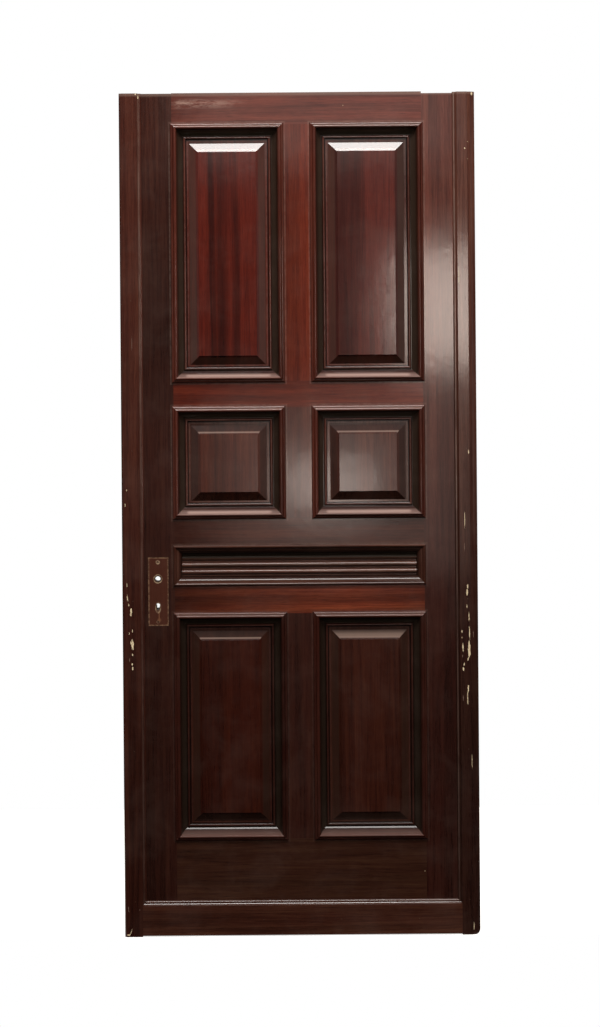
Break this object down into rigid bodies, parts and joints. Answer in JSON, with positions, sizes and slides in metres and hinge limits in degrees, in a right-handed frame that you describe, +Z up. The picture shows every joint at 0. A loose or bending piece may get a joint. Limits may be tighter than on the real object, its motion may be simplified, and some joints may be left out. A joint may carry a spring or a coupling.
{
  "type": "panelled door",
  "caption": "Framed door leaf with raised and fielded panels in bold mitred mouldings, a reeded panel at lock height and a proud border, its lock furniture removed.",
  "frame": {"origin": "centre of the leaf's overall box, at its foot", "axes": "X to the right seen from the front, the moulded front towards -Y, Z up"},
  "size_m": [0.9, 0.0555, 2.134],
  "materials": {
    "frame_wood": "aged gloss varnish",
    "rail_wood": "aged gloss varnish",
    "panel_wood": "aged gloss varnish",
    "moulding_wood": "aged gloss varnish",
    "border_wood": "aged varnish, chipped",
    "nail_iron": "dull"
  },
  "bodies": {
    "root": {"lock_stile": "frame_wood", "hinge_stile": "frame_wood", "bottom_rail": "rail_wood", "lock_rail": "rail_wood", "middle_rail": "rail_wood", "upper_rail": "rail_wood", "top_rail": "rail_wood", "lower_mullion": "frame_wood", "small_mullion": "frame_wood", "upper_mullion": "frame_wood", "upper_left_panel": "panel_wood", "upper_right_panel": "panel_wood", "small_left_panel": "panel_wood", "small_right_panel": "panel_wood", "lower_left_panel": "panel_wood", "lower_right_panel": "panel_wood", "reeded_panel": "panel_wood", "upper_left_bottom_moulding": "moulding_wood", "upper_left_right_moulding": "moulding_wood", "upper_left_top_moulding": "moulding_wood", "upper_left_left_moulding": "moulding_wood", "upper_right_bottom_moulding": "moulding_wood", "upper_right_right_moulding": "moulding_wood", "upper_right_top_moulding": "moulding_wood", "upper_right_left_moulding": "moulding_wood", "small_left_bottom_moulding": "moulding_wood", "small_left_right_moulding": "moulding_wood", "small_left_top_moulding": "moulding_wood", "small_left_left_moulding": "moulding_wood", "small_right_bottom_moulding": "moulding_wood", "small_right_right_moulding": "moulding_wood", "small_right_top_moulding": "moulding_wood", "small_right_left_moulding": "moulding_wood", "lower_left_bottom_moulding": "moulding_wood", "lower_left_right_moulding": "moulding_wood", "lower_left_top_moulding": "moulding_wood", "lower_left_left_moulding": "moulding_wood", "lower_right_bottom_moulding": "moulding_wood", "lower_right_right_moulding": "moulding_wood", "lower_right_top_moulding": "moulding_wood", "lower_right_left_moulding": "moulding_wood", "reeded_bottom_moulding": "moulding_wood", "reeded_right_moulding": "moulding_wood", "reeded_top_moulding": "moulding_wood", "reeded_left_moulding": "moulding_wood", "upper_left_back_moulding": "moulding_wood", "upper_right_back_moulding": "moulding_wood", "small_left_back_moulding": "moulding_wood", "small_right_back_moulding": "moulding_wood", "lower_left_back_moulding": "moulding_wood", "lower_right_back_moulding": "moulding_wood", "reeded_back_moulding": "moulding_wood", "lock_side_strip": "border_wood", "hinge_side_strip": "border_wood", "foot_strip": "border_wood", "border_nails": "nail_iron"}
  },
  "joints": []
}
